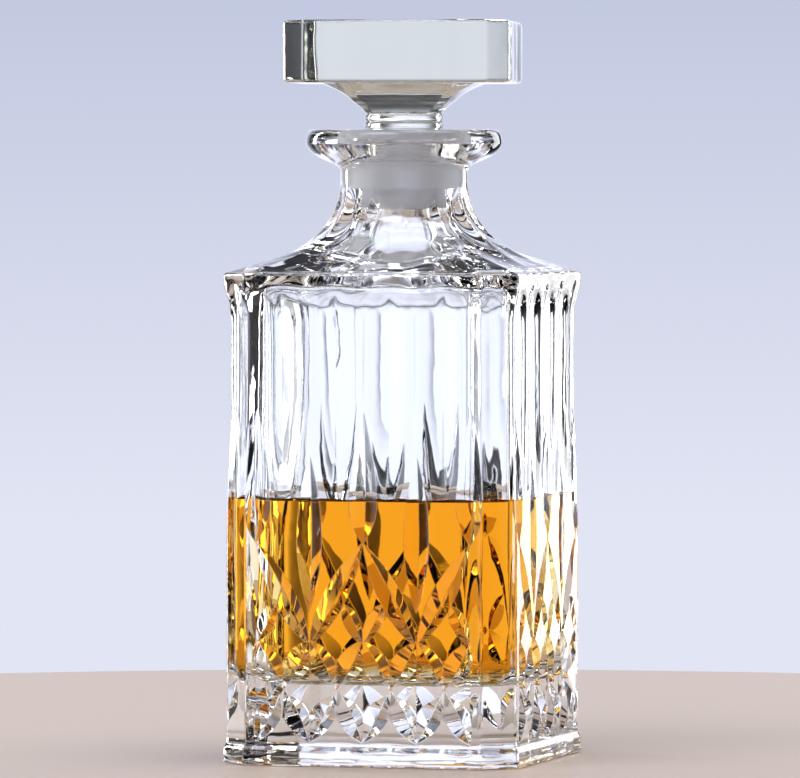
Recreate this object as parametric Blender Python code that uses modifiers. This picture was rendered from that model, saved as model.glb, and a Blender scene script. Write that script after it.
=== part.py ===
"""Square pressed-glass decanter with a glass stopper in a plastic seal sleeve.

Standing on z = 0 with the Z axis up through the neck. Lengths are in metres.
"""

import math

import bmesh
import bpy

MM = 0.001

# Bottle, outside.
BODY_SIDE = 93.0 * MM           # flat to flat between two opposite faces
CORNER_LEG = 9.0 * MM           # leg of the chamfer that takes off each upright corner
EDGE_HEIGHT = 152.0 * MM        # table to the sharp edge where the walls turn into the shoulder
EDGE_FLARE = 0.8 * MM           # how far each face leans out at that edge
EDGE_FLARE_HEIGHT = 16.0 * MM   # stretch of wall that leans out
EDGE_ROUND = 1.6 * MM
FOOT_HEIGHT = 7.0 * MM          # plain band round the bottom
FOOT_STEP = 1.0 * MM            # how far the band stands proud of the wall
FOOT_ROUND = 0.8 * MM
BASE_RIM = 7.0 * MM             # width of the flat ring that the bottle stands on
BASE_RECESS = 0.9 * MM
SHOULDER_RISE = 29.0 * MM       # sharp edge to the slimmest place of the neck
NECK_RADIUS = 19.8 * MM
NECK_STRAIGHT = 2.0 * MM
LIP_RISE = 13.0 * MM            # slimmest place of the neck to the top of the rim
LIP_RADIUS = 30.6 * MM
LIP_THICKNESS = 4.4 * MM
LIP_ROUND = 2.0 * MM            # how far the top of the rim is set in from the lip's edge

# Flutes pressed into the upper walls and into the shoulder.
FLUTES_PER_FACE = 5
FLUTE_DEPTH = 1.4 * MM
FLUTE_EDGE_GAP = 3.3 * MM       # last flute's valley to the start of the corner chamfer
FLUTE_LENGTH = 72.0 * MM        # down from the sharp edge, fading into the flat wall
SHOULDER_FLUTES = 12
SHOULDER_FLUTE_DEPTH = 0.9 * MM

# Pointed leaves cut into each face, in three layers that cross each other. The upright ones stand on
# every flute's line, tall and short in turn; the slanting ones run from tall leaf to short leaf.
LEAF_DEPTH = 2.8 * MM
LEAF_STEPS = 7
TALL_LEAF_WIDTH = 9.4 * MM
TALL_LEAF_FOOT = 68.6 * MM
TALL_LEAF_TIP = 119.0 * MM
TALL_LEAF_FULLEST = 0.25        # share of the length where a leaf is widest
SHORT_LEAF_WIDTH = 8.0 * MM
SHORT_LEAF_FOOT = 47.6 * MM
SHORT_LEAF_TIP = 100.5 * MM
SHORT_LEAF_FULLEST = 0.42
SLANT_LEAF_WIDTH = 7.4 * MM
SLANT_LEAF_HIGH = 69.0 * MM
SLANT_LEAF_LOW = 37.4 * MM
SLANT_LEAF_FULLEST = 0.55
LEAF_CUTTER_MARGIN = 1.6 * MM   # how far a cutter stands out of the face

# Bottle, inside.
WALL = 5.5 * MM
CAVITY_CORNER_LEG = 10.0 * MM   # chamfer of the cavity's upright corners
FLOOR_HEIGHT = 24.8 * MM        # table to the inner floor: the base is heavy
FLOOR_ROUND = 7.0 * MM
SHOULDER_WALL = 3.5 * MM
CAVITY_TOP_ROUND = 3.0 * MM     # where the cavity's walls turn in under the shoulder
BORE_BEYOND_SLEEVE = 3.4 * MM   # bore that goes on below the seal sleeve before it opens out
MOUTH_RADIUS = 23.6 * MM        # inner edge of the rim

# Seal sleeve on the stopper's shank.
SLEEVE_TOP_RADIUS = 13.0 * MM
SLEEVE_TAPER = 1.6 * MM         # loss of radius from top to tip
SLEEVE_LENGTH = 22.9 * MM       # below its flange
SLEEVE_WALL = 1.4 * MM
SLEEVE_CHAMFER = 0.8 * MM
RIB_HEIGHT = 0.35 * MM
RIB_HALF_WIDTH = 0.9 * MM
RIB_COUNT = 3
FLANGE_OVERHANG = 2.8 * MM      # flange beyond the sleeve
FLANGE_THICKNESS = 3.4 * MM
FLANGE_ROUND = 0.6 * MM
SEAT_MARGIN = 0.6 * MM          # room round the flange on its seat
FIT_GAP = 0.3 * MM              # between touching pieces

# Stopper.
HEAD_SIDE = 70.0 * MM
HEAD_CORNER_LEG = 6.5 * MM
HEAD_THICKNESS = 19.4 * MM
HEAD_ROUND = 1.5 * MM
COLLAR_OVERHANG = 0.6 * MM      # bead between flare and sleeve, beyond the sleeve's inner edge
COLLAR_HEIGHT = 4.6 * MM
COLLAR_ROUND = 0.8 * MM
ARRIS_RISE = 4.0 * MM           # top of the collar to the arris round the flare
ARRIS_STEP = 3.7 * MM           # arris beyond the collar
FLARE_RISE = 9.6 * MM           # top of the collar to the underside of the head
FLARE_STEP = 13.3 * MM          # where the flare meets the head, beyond the collar
SHANK_TIP_ROOM = 1.5 * MM       # shank's end above the sleeve's end
FLARE_ROUNDNESS = 0.3           # 0 is square with chamfered corners, 1 is round
STOPPER_TURN = math.radians(11.0)

# Fineness of the meshes.
ROUND_STEPS = 48
CURVE_STEPS = 7
CHAMFER_STEPS = 2
FACE_STEPS_PER_PITCH = 2
HEAD_FACE_STEPS = 4

half_side = BODY_SIDE / 2
half_flat = half_side - CORNER_LEG
pitch = (half_flat - FLUTE_EDGE_GAP) / (FLUTES_PER_FACE // 2)
flute_foot = EDGE_HEIGHT - FLUTE_LENGTH
neck_height = EDGE_HEIGHT + SHOULDER_RISE
rim_height = neck_height + NECK_STRAIGHT + LIP_RISE
lip_height = rim_height - LIP_THICKNESS
flange_top = rim_height
flange_bottom = flange_top - FLANGE_THICKNESS
seat_height = flange_bottom - FIT_GAP
flange_radius = SLEEVE_TOP_RADIUS + FLANGE_OVERHANG
collar_radius = SLEEVE_TOP_RADIUS - SLEEVE_WALL + COLLAR_OVERHANG
sleeve_tip = flange_bottom - SLEEVE_LENGTH
sleeve_tip_radius = SLEEVE_TOP_RADIUS - SLEEVE_TAPER
bore_top_radius = SLEEVE_TOP_RADIUS + RIB_HEIGHT + FIT_GAP
bore_taper = SLEEVE_TAPER / SLEEVE_LENGTH
bore_foot = sleeve_tip - BORE_BEYOND_SLEEVE
bore_foot_radius = bore_top_radius - bore_taper * (seat_height - bore_foot)
collar_bottom = flange_top + FIT_GAP
collar_top = collar_bottom + COLLAR_HEIGHT
head_bottom = collar_top + FLARE_RISE


def clear_scene():
    for old in list(bpy.data.objects):
        bpy.data.objects.remove(old, do_unlink=True)


def new_collection(name):
    collection = bpy.data.collections.new(name)
    bpy.context.scene.collection.children.link(collection)
    return collection


def material(name, colour, roughness, transmission=0.0, alpha=1.0):
    made = bpy.data.materials.new(name)
    made.use_nodes = True
    shader = made.node_tree.nodes["Principled BSDF"]
    shader.inputs["Base Color"].default_value = (*colour, 1.0)
    shader.inputs["Roughness"].default_value = roughness
    shader.inputs["Metallic"].default_value = 0.0
    shader.inputs["Transmission Weight"].default_value = transmission
    shader.inputs["Alpha"].default_value = alpha
    made.diffuse_color = (*colour, alpha)
    return made


def mesh_object(name, mesh, collection, finish, sharp_degrees=35.0):
    mesh.materials.append(finish)
    mesh.shade_smooth()
    mesh.set_sharp_from_angle(angle=math.radians(sharp_degrees))
    made = bpy.data.objects.new(name, mesh)
    collection.objects.link(made)
    return made


def smooth_step(share):
    share = min(max(share, 0.0), 1.0)
    return share * share * (3.0 - 2.0 * share)


def bezier(start, pull_start, pull_end, end, steps=CURVE_STEPS):
    """Points after start up to end on a cubic curve in (radius, height)."""
    points = []
    for step in range(1, steps + 1):
        t = step / steps
        weights = ((1 - t) ** 3, 3 * t * (1 - t) ** 2, 3 * t * t * (1 - t), t ** 3)
        corners = (start, pull_start, pull_end, end)
        points.append(tuple(sum(w * c[axis] for w, c in zip(weights, corners)) for axis in (0, 1)))
    return points


def plan_angles(half, leg, offsets):
    """Angles round a square plan with chamfered corners, at these offsets along each face."""
    flat = half - leg
    face = [math.atan2(offset, half) for offset in [-flat, *offsets, flat]]
    corner = face[-1]
    chamfer = [corner + (math.pi / 2 - 2 * corner) * step / CHAMFER_STEPS
               for step in range(1, CHAMFER_STEPS)]
    return [angle + side * math.pi / 2 for side in range(4) for angle in face + chamfer]


def bottle_angles():
    """Every flute's valley and crest falls on an angle."""
    offsets = [step * pitch / FACE_STEPS_PER_PITCH
               for step in range(-FLUTES_PER_FACE + 1, FLUTES_PER_FACE)]
    return plan_angles(half_side, CORNER_LEG, offsets)


def square_radius(angle, half, leg, flute=0.0):
    """Distance from the axis to a square with chamfered corners, with flutes pressed into its faces."""
    along, across = sorted((abs(math.cos(angle)), abs(math.sin(angle))), reverse=True)
    lateral = half * across / along
    if flute and lateral < half - leg:
        half -= flute * (1 + math.cos(2 * math.pi * lateral / pitch)) / 2
    return min(half / along, (2 * half - leg) / (along + across))


def section(radius, height, roundness=0.0, leg=CORNER_LEG, flute=0.0, rays=0.0):
    """One ring of the bottle: from the square plan, roundness 0, to a circle, roundness 1."""
    ring = []
    for angle in bottle_angles():
        square = square_radius(angle, radius, leg * radius / half_side, flute)
        reach = (1 - roundness) * square + roundness * radius
        reach -= rays * (1 + math.cos(SHOULDER_FLUTES * angle)) / 2
        ring.append((reach * math.cos(angle), reach * math.sin(angle), height))
    return ring


def loft(name, rings, first_height, last_height):
    """Closed skin over rings of equal count, with a fan to the axis at each end."""
    mesh = bpy.data.meshes.new(name)
    skin = bmesh.new()
    rows = [[skin.verts.new(point) for point in ring] for ring in rings]
    for lower, upper in zip(rows, rows[1:]):
        for index in range(len(lower)):
            after = (index + 1) % len(lower)
            skin.faces.new((lower[index], lower[after], upper[after], upper[index]))
    for row, height in ((rows[0], first_height), (rows[-1], last_height)):
        tip = skin.verts.new((0.0, 0.0, height))
        for index in range(len(row)):
            skin.faces.new((row[index], row[(index + 1) % len(row)], tip))
    bmesh.ops.recalc_face_normals(skin, faces=skin.faces)
    skin.to_mesh(mesh)
    skin.free()
    return mesh


def outside_rings():
    """Standing ring, foot band, walls, shoulder, neck and lip, from the bottom up."""
    foot = half_side + FOOT_STEP
    recess = foot - BASE_RIM
    rings = [
        section(recess - BASE_RECESS, BASE_RECESS),
        section(recess, 0.0),
        section(foot - FOOT_ROUND, 0.0),
        section(foot, FOOT_ROUND),
        section(foot, FOOT_HEIGHT - FOOT_STEP),
        section(half_side, FOOT_HEIGHT),
        section(half_side, flute_foot),
    ]
    flare_start = EDGE_HEIGHT - EDGE_FLARE_HEIGHT
    edge_side = half_side + EDGE_FLARE
    rings += [
        section(half_side, (flute_foot + flare_start) / 2, flute=FLUTE_DEPTH / 2),
        section(half_side, flare_start, flute=FLUTE_DEPTH),
        section(edge_side, EDGE_HEIGHT - EDGE_ROUND * 2, flute=FLUTE_DEPTH),
        section(edge_side, EDGE_HEIGHT - EDGE_ROUND),
    ]
    start = (edge_side - EDGE_ROUND, EDGE_HEIGHT)
    rings.append(section(*start))
    reach = start[0] - NECK_RADIUS
    shoulder = bezier(
        start,
        (start[0] - 0.52 * reach, EDGE_HEIGHT + 0.22 * SHOULDER_RISE),
        (NECK_RADIUS, EDGE_HEIGHT + 0.44 * SHOULDER_RISE),
        (NECK_RADIUS, neck_height),
        steps=2 * CURVE_STEPS,
    )
    for radius, height in shoulder:
        share = (start[0] - radius) / reach
        rings.append(section(
            radius, height,
            roundness=smooth_step(share * 1.25),
            rays=SHOULDER_FLUTE_DEPTH * math.sin(math.pi * min(share, 1.0)),
        ))
    neck_top = (NECK_RADIUS, neck_height + NECK_STRAIGHT)
    rings.append(section(*neck_top, roundness=1.0))
    under_lip = bezier(
        neck_top,
        (NECK_RADIUS, neck_top[1] + 0.26 * LIP_RISE),
        (LIP_RADIUS - 2.0 * MM, neck_top[1] + 0.24 * LIP_RISE),
        (LIP_RADIUS, lip_height),
    )
    over_lip = bezier(
        (LIP_RADIUS, lip_height),
        (LIP_RADIUS, rim_height - 0.4 * LIP_THICKNESS),
        (LIP_RADIUS - 0.4 * LIP_ROUND, rim_height),
        (LIP_RADIUS - LIP_ROUND, rim_height),
        steps=4,
    )
    rings += [section(*point, roundness=1.0) for point in under_lip + over_lip]
    return rings


def inside_rings():
    """Mouth, seat of the seal, bore, inner shoulder and cavity, from the top down."""
    seat_radius = flange_radius + SEAT_MARGIN
    rim_inset = 1.5 * MM
    mouth = bezier(
        (MOUTH_RADIUS + rim_inset, rim_height),
        (MOUTH_RADIUS - rim_inset, rim_height),
        (seat_radius + 2 * rim_inset, seat_height),
        (seat_radius, seat_height),
    )
    rings = [section(MOUTH_RADIUS + rim_inset, rim_height, roundness=1.0)]
    rings += [section(*point, roundness=1.0) for point in mouth]
    rings += [
        section(bore_top_radius, seat_height, roundness=1.0),
        section(bore_foot_radius, bore_foot, roundness=1.0),
    ]
    inner_side = half_side - WALL
    inner_edge = EDGE_HEIGHT - SHOULDER_WALL
    reach = inner_side - bore_foot_radius
    rise = bore_foot - inner_edge
    vault = bezier(
        (bore_foot_radius, bore_foot),
        (bore_foot_radius, inner_edge + 0.45 * rise),
        (inner_side - 0.45 * reach, inner_edge + 0.2 * rise),
        (inner_side - CAVITY_TOP_ROUND, inner_edge),
        steps=2 * CURVE_STEPS,
    )
    for radius, height in vault:
        share = (radius - bore_foot_radius) / reach
        rings.append(section(radius, height, roundness=1 - smooth_step(share), leg=CAVITY_CORNER_LEG))
    rings += [
        section(inner_side, inner_edge - CAVITY_TOP_ROUND, leg=CAVITY_CORNER_LEG),
        section(inner_side, FLOOR_HEIGHT + FLOOR_ROUND, leg=CAVITY_CORNER_LEG),
    ]
    floor_round = bezier(
        (inner_side, FLOOR_HEIGHT + FLOOR_ROUND),
        (inner_side, FLOOR_HEIGHT + 0.4 * FLOOR_ROUND),
        (inner_side - 0.6 * FLOOR_ROUND, FLOOR_HEIGHT),
        (inner_side - FLOOR_ROUND, FLOOR_HEIGHT),
        steps=4,
    )
    rings += [section(*point, leg=CAVITY_CORNER_LEG) for point in floor_round]
    return rings


def leaf_sections(start, end, width, fullest):
    """Triangles along one leaf, deepest where it is widest, as (lateral, height, inward) points."""
    along = (end[0] - start[0], end[1] - start[1])
    length = math.hypot(*along)
    across = (-along[1] / length, along[0] / length)
    lead = 0.25 * fullest
    sections = []
    for step in range(LEAF_STEPS + 1):
        t = (1 + lead / fullest) * step / LEAF_STEPS - lead
        span = fullest if t < fullest else 1 - fullest
        share = max(1 - ((t - fullest) / span) ** 2, -0.5 * LEAF_CUTTER_MARGIN / LEAF_DEPTH)
        middle = (start[0] + along[0] * t, start[1] + along[1] * t)
        half_width = width / 2 * (share * LEAF_DEPTH + LEAF_CUTTER_MARGIN) / LEAF_DEPTH
        edges = [
            (middle[0] + side * across[0] * half_width, middle[1] + side * across[1] * half_width)
            for side in (1, -1)
        ]
        sections.append([(*middle, share * LEAF_DEPTH)] + [(*edge, -LEAF_CUTTER_MARGIN) for edge in edges])
    return sections


def cut_leaves(body, name, leaves, collection):
    """Takes one layer of leaves, none touching another, out of all four faces."""
    mesh = bpy.data.meshes.new(name)
    solid = bmesh.new()
    for turn in range(4):
        cosine, sine = round(math.cos(turn * math.pi / 2)), round(math.sin(turn * math.pi / 2))
        for leaf in leaves:
            rows = []
            for triangle in leaf_sections(*leaf):
                row = []
                for lateral, height, inward in triangle:
                    y = inward - half_side
                    x, y = lateral * cosine - y * sine, lateral * sine + y * cosine
                    row.append(solid.verts.new((x, y, height)))
                rows.append(row)
            for first, second in zip(rows, rows[1:]):
                for index in range(3):
                    after = (index + 1) % 3
                    solid.faces.new((first[index], first[after], second[after], second[index]))
            solid.faces.new(rows[0])
            solid.faces.new(rows[-1])
    bmesh.ops.recalc_face_normals(solid, faces=solid.faces)
    solid.to_mesh(mesh)
    solid.free()
    cutter = bpy.data.objects.new(name, mesh)
    cutter.display_type = "WIRE"
    cutter.hide_render = True
    collection.objects.link(cutter)
    modifier = body.modifiers.new(name, "BOOLEAN")
    modifier.operation = "DIFFERENCE"
    modifier.solver = "MANIFOLD"  # the exact solver leaves faces that touch where two leaves cross
    modifier.object = cutter


def leaf_layers():
    """Upright leaves, slanting leaves that fall to the right, and slanting leaves that fall to the left."""
    upright = []
    for place in range(-2, 3):
        lateral = place * pitch
        if place % 2:
            upright.append((
                (lateral, SHORT_LEAF_FOOT), (lateral, SHORT_LEAF_TIP), SHORT_LEAF_WIDTH, SHORT_LEAF_FULLEST,
            ))
        else:
            upright.append((
                (lateral, TALL_LEAF_FOOT), (lateral, TALL_LEAF_TIP), TALL_LEAF_WIDTH, TALL_LEAF_FULLEST,
            ))
    layers = {"upright_leaves": upright}
    for name, starts, step in (("falling_leaves", (-2, 0), 1), ("rising_leaves", (0, 2), -1)):
        layers[name] = [
            (
                (place * pitch, SLANT_LEAF_HIGH), ((place + step) * pitch, SLANT_LEAF_LOW),
                SLANT_LEAF_WIDTH, SLANT_LEAF_FULLEST,
            )
            for place in starts
        ]
    return layers


def make_decanter_body(collection, cutters):
    glass = material("decanter_glass", (0.86, 0.89, 0.88), 0.03, transmission=0.9, alpha=0.45)
    mesh = loft("decanter_body", outside_rings() + inside_rings(), BASE_RECESS, FLOOR_HEIGHT)
    body = mesh_object("decanter_body", mesh, collection, glass)
    for name, leaves in leaf_layers().items():
        cut_leaves(body, name, leaves, cutters)
    return body


def turned(name, profile, collection, finish):
    """Solid of revolution from a closed or axis-to-axis outline of (radius, height) points."""
    mesh = bpy.data.meshes.new(name)
    closed = profile[0][0] > 0.0
    count = len(profile)
    links = [(index, index + 1) for index in range(count - 1)]
    if closed:
        links.append((count - 1, 0))
    mesh.from_pydata([(radius, 0.0, height) for radius, height in profile], links, [])
    made = mesh_object(name, mesh, collection, finish)
    screw = made.modifiers.new("turn", "SCREW")
    screw.axis = "Z"
    screw.steps = ROUND_STEPS
    screw.render_steps = ROUND_STEPS
    screw.use_merge_vertices = True
    screw.merge_threshold = 0.00001
    screw.use_smooth_shade = True
    return made


def make_seal_sleeve(collection):
    plastic = material("white_polyethylene", (0.82, 0.80, 0.77), 0.45)
    inner_top = SLEEVE_TOP_RADIUS - SLEEVE_WALL
    inner_tip = sleeve_tip_radius - SLEEVE_WALL

    def skin_radius(height):
        return SLEEVE_TOP_RADIUS - bore_taper * (flange_bottom - height)

    profile = [
        (inner_top, flange_top),
        (flange_radius - FLANGE_ROUND, flange_top),
        (flange_radius, flange_top - FLANGE_ROUND),
        (flange_radius, flange_bottom + FLANGE_ROUND),
        (flange_radius - FLANGE_ROUND, flange_bottom),
        (SLEEVE_TOP_RADIUS, flange_bottom),
    ]
    spacing = SLEEVE_LENGTH / (RIB_COUNT + 1)
    for rib in range(1, RIB_COUNT + 1):
        centre = flange_bottom - rib * spacing
        profile += [
            (skin_radius(centre), centre + RIB_HALF_WIDTH),
            (skin_radius(centre) + RIB_HEIGHT, centre),
            (skin_radius(centre), centre - RIB_HALF_WIDTH),
        ]
    profile += [
        (skin_radius(sleeve_tip + SLEEVE_CHAMFER), sleeve_tip + SLEEVE_CHAMFER),
        (sleeve_tip_radius - SLEEVE_CHAMFER / 2, sleeve_tip),
        (inner_tip, sleeve_tip),
    ]
    return turned("seal_sleeve", profile, collection, plastic)


def stopper_rings():
    """Shank, collar, eight-sided flare and square head, from the shank's tip up."""
    head_half = HEAD_SIDE / 2
    flat = head_half - HEAD_CORNER_LEG
    offsets = [flat * step / HEAD_FACE_STEPS for step in range(1 - HEAD_FACE_STEPS, HEAD_FACE_STEPS)]
    angles = plan_angles(head_half, HEAD_CORNER_LEG, offsets)

    def ring(radius, height, roundness=1.0):
        found = []
        for angle in angles:
            square = square_radius(angle, radius, HEAD_CORNER_LEG * radius / head_half)
            reach = (1 - roundness) * square + roundness * radius
            turned_angle = angle + STOPPER_TURN
            found.append((reach * math.cos(turned_angle), reach * math.sin(turned_angle), height))
        return found

    shank_top = SLEEVE_TOP_RADIUS - SLEEVE_WALL - FIT_GAP
    shank_tip = sleeve_tip_radius - SLEEVE_WALL - FIT_GAP
    tip_height = sleeve_tip + SHANK_TIP_ROOM
    rings = [
        ring(shank_tip - SLEEVE_CHAMFER, tip_height),
        ring(shank_tip, tip_height + SLEEVE_CHAMFER),
        ring(shank_top, collar_bottom),
        ring(collar_radius - COLLAR_ROUND, collar_bottom),
        ring(collar_radius, collar_bottom + COLLAR_ROUND),
        ring(collar_radius, collar_top - COLLAR_ROUND),
        ring(collar_radius - COLLAR_ROUND / 2, collar_top),
    ]
    arris = (collar_radius + ARRIS_STEP, collar_top + ARRIS_RISE)
    below = bezier(
        (collar_radius - COLLAR_ROUND / 2, collar_top),
        (collar_radius, collar_top + ARRIS_RISE / 3),
        (arris[0] - ARRIS_STEP / 2, arris[1] - ARRIS_RISE / 3),
        arris,
        steps=3,
    )
    root = (collar_radius + FLARE_STEP, head_bottom)
    above = bezier(
        arris,
        (arris[0] + (root[0] - arris[0]) / 4, arris[1] + (root[1] - arris[1]) / 2),
        (root[0] - (root[0] - arris[0]) / 3, root[1] - (root[1] - arris[1]) / 4),
        root,
        steps=4,
    )
    rings += [ring(*point, roundness=FLARE_ROUNDNESS) for point in below + above]
    head_top = head_bottom + HEAD_THICKNESS
    under = bezier(
        (head_half - HEAD_ROUND, head_bottom),
        (head_half - HEAD_ROUND / 2, head_bottom),
        (head_half, head_bottom + HEAD_ROUND / 2),
        (head_half, head_bottom + HEAD_ROUND),
        steps=2,
    )
    over = [(radius, head_top - (height - head_bottom)) for radius, height in reversed(under)]
    corner = (head_half - HEAD_ROUND, head_bottom)
    rings += [ring(*point, roundness=0.0) for point in [corner] + under + over]
    rings.append(ring(head_half - HEAD_ROUND, head_top, roundness=0.0))
    return rings, tip_height, head_top


def make_stopper(collection):
    """Square head, flare, collar and shank pressed as one solid piece of glass."""
    glass = material("stopper_glass", (0.86, 0.90, 0.87), 0.03, transmission=0.9, alpha=0.45)
    mesh = loft("stopper", *stopper_rings())
    return mesh_object("stopper", mesh, collection, glass)


def main():
    clear_scene()
    decanter = new_collection("square_decanter")
    make_decanter_body(decanter, new_collection("leaf_cutters"))
    make_seal_sleeve(decanter)
    make_stopper(decanter)


main()
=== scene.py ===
"""Looks of a square pressed-glass decanter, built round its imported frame."""

import math

import bmesh
import bpy
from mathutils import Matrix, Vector, noise


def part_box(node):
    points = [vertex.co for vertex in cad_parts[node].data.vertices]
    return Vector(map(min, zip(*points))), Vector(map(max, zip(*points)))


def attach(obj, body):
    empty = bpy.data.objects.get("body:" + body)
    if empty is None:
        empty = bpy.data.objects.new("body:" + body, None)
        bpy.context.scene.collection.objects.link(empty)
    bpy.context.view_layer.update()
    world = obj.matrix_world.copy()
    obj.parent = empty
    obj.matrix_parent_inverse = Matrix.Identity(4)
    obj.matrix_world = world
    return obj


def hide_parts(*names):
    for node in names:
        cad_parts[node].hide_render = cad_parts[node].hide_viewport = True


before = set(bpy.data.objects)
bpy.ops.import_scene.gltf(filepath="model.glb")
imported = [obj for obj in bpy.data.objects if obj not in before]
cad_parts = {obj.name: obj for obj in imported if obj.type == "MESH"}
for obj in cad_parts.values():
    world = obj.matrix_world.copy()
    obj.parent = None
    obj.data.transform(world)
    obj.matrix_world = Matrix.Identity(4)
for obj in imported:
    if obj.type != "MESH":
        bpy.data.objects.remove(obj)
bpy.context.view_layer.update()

# ---------------------------------------------------------------------------------------------
# Camera: a long lens from a little above, so that the upright edges stay parallel.
# ---------------------------------------------------------------------------------------------
CAMERA_TURN = math.radians(15.85)
CAMERA_DISTANCE = 2.566
CAMERA_HEIGHT = 0.1886
CAMERA_DIP = math.radians(1.64)
CAMERA_SIDESTEP = -0.0012
FRAME_WIDTH = 800
FOCAL_IN_FRAME_UNITS = 8224

lens = bpy.data.cameras.new("camera")
lens.sensor_width = 36.0
lens.lens = FOCAL_IN_FRAME_UNITS / FRAME_WIDTH * lens.sensor_width
lens.clip_start = 0.1
lens.clip_end = 50.0
camera = bpy.data.objects.new("camera", lens)
bpy.context.scene.collection.objects.link(camera)
toward = Vector((-math.sin(CAMERA_TURN), math.cos(CAMERA_TURN), 0.0))
right = Vector((math.cos(CAMERA_TURN), math.sin(CAMERA_TURN), 0.0))
camera.location = right * CAMERA_SIDESTEP - toward * CAMERA_DISTANCE
camera.location.z = CAMERA_HEIGHT
camera.rotation_euler = (math.pi / 2 - CAMERA_DIP, 0.0, CAMERA_TURN)
bpy.context.scene.camera = camera


# ---------------------------------------------------------------------------------------------
# Stand and light: a plain pale round table with four broad soft panels of light round it. The
# darker gaps between the panels draw the edges of the glass. A lit ceiling and one bright window
# give it its highlights.
# ---------------------------------------------------------------------------------------------
def linear(hex_colour):
    """sRGB hex, such as 'c8ccdd', to linear red, green, blue and 1."""
    parts = [int(hex_colour[i:i + 2], 16) / 255 for i in (0, 2, 4)]
    return (*[p / 12.92 if p <= 0.04045 else ((p + 0.055) / 1.055) ** 2.4 for p in parts], 1.0)


def add(tree, kind, inputs=None, **settings):
    """One node, its settings, and its inputs: a value, or another node's output socket."""
    node = tree.nodes.new(kind)
    for name, value in settings.items():
        setattr(node, name, value)
    for name, value in (inputs or {}).items():
        if isinstance(value, bpy.types.NodeSocket):
            tree.links.new(value, node.inputs[name])
        else:
            node.inputs[name].default_value = value
    return node


def blank(name):
    """A new material with an empty node tree and its output node."""
    made = bpy.data.materials.new(name)
    made.use_nodes = True
    made.node_tree.nodes.clear()
    return made, made.node_tree, made.node_tree.nodes.new("ShaderNodeOutputMaterial")


TABLE_RADIUS = 0.44
TABLE_THICKNESS = 0.025
TABLE_STEPS = 160

table_mesh = bpy.data.meshes.new("table")
disc = bmesh.new()
bmesh.ops.create_cone(disc, cap_ends=True, segments=TABLE_STEPS, radius1=TABLE_RADIUS,
                      radius2=TABLE_RADIUS, depth=TABLE_THICKNESS)
bmesh.ops.translate(disc, vec=(0.0, 0.0, -TABLE_THICKNESS / 2), verts=disc.verts)
disc.to_mesh(table_mesh)
disc.free()
table = bpy.data.objects.new("table", table_mesh)
bpy.context.scene.collection.objects.link(table)
paint, tree, out = blank("pale_matt_paint")
shader = add(tree, "ShaderNodeBsdfPrincipled", {"Base Color": linear("b0a090"), "Roughness": 0.5})
tree.links.new(shader.outputs[0], out.inputs["Surface"])
table_mesh.materials.append(paint)

PANEL_LIGHT = linear("d3d7ea")
GAP_LIGHT = linear("2a2829")
BACKDROP_LOW = linear("e2e5f4")
BACKDROP_HIGH = linear("bcc3dc")
PANEL_SHIFT = math.radians(8.0)  # the panels stand a little to the left
PANEL_EDGES = (-0.62, 0.67)    # of the cosine wave round the room: where a panel starts and is full
PANEL_HEIGHTS = (0.57, 0.14)    # of the sine of the height: where the panels end, and are full
CEILING_EDGES = (0.53, 0.90)    # of the same: where the ceiling's light starts, and is full
CEILING_SHARE = 0.8
ROOM_STRENGTH = 1.7
WINDOW_STRENGTH = 16.0
WINDOW_EDGES = (0.86, 0.93)     # of the cosine to the window's middle: its soft rim
WINDOW_TURN = CAMERA_TURN - math.radians(42)
WINDOW_RISE = math.radians(36)
SWEEP_HEIGHTS = (-0.045, 0.03)  # of the sine of the height: from low to high backdrop

room = bpy.data.worlds.new("studio")
room.use_nodes = True
tree = room.node_tree
tree.nodes.clear()
where = add(tree, "ShaderNodeTexCoord")
axes = add(tree, "ShaderNodeSeparateXYZ", {0: where.outputs["Generated"]})
bearing = add(tree, "ShaderNodeMath", {0: axes.outputs["X"], 1: axes.outputs["Y"]}, operation="ARCTAN2")
turned = add(tree, "ShaderNodeMath", {0: bearing.outputs[0], 1: CAMERA_TURN + PANEL_SHIFT}, operation="ADD")
fourfold = add(tree, "ShaderNodeMath", {0: turned.outputs[0], 1: 4.0}, operation="MULTIPLY")
wave = add(tree, "ShaderNodeMath", {0: fourfold.outputs[0]}, operation="COSINE")
panel = add(tree, "ShaderNodeMapRange", {"Value": wave.outputs[0], "From Min": PANEL_EDGES[0],
                                         "From Max": PANEL_EDGES[1]}, interpolation_type="SMOOTHSTEP")
height = add(tree, "ShaderNodeMath", {0: axes.outputs["Z"]}, operation="ABSOLUTE")
low = add(tree, "ShaderNodeMapRange", {"Value": height.outputs[0], "From Min": PANEL_HEIGHTS[0],
                                       "From Max": PANEL_HEIGHTS[1]}, interpolation_type="SMOOTHSTEP")
walls = add(tree, "ShaderNodeMath", {0: panel.outputs[0], 1: low.outputs[0]}, operation="MULTIPLY")
overhead = add(tree, "ShaderNodeMapRange", {"Value": axes.outputs["Z"], "From Min": CEILING_EDGES[0],
                                            "From Max": CEILING_EDGES[1], "To Max": CEILING_SHARE})
share = add(tree, "ShaderNodeMath", {0: walls.outputs[0], 1: overhead.outputs[0]}, operation="ADD")
colour = add(tree, "ShaderNodeMix", {0: share.outputs[0], 6: GAP_LIGHT, 7: PANEL_LIGHT}, data_type="RGBA")
window = (math.sin(WINDOW_TURN) * math.cos(WINDOW_RISE), -math.cos(WINDOW_TURN) * math.cos(WINDOW_RISE),
          math.sin(WINDOW_RISE))
facing = add(tree, "ShaderNodeVectorMath", {0: where.outputs["Generated"], 1: window},
             operation="DOT_PRODUCT")
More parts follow.
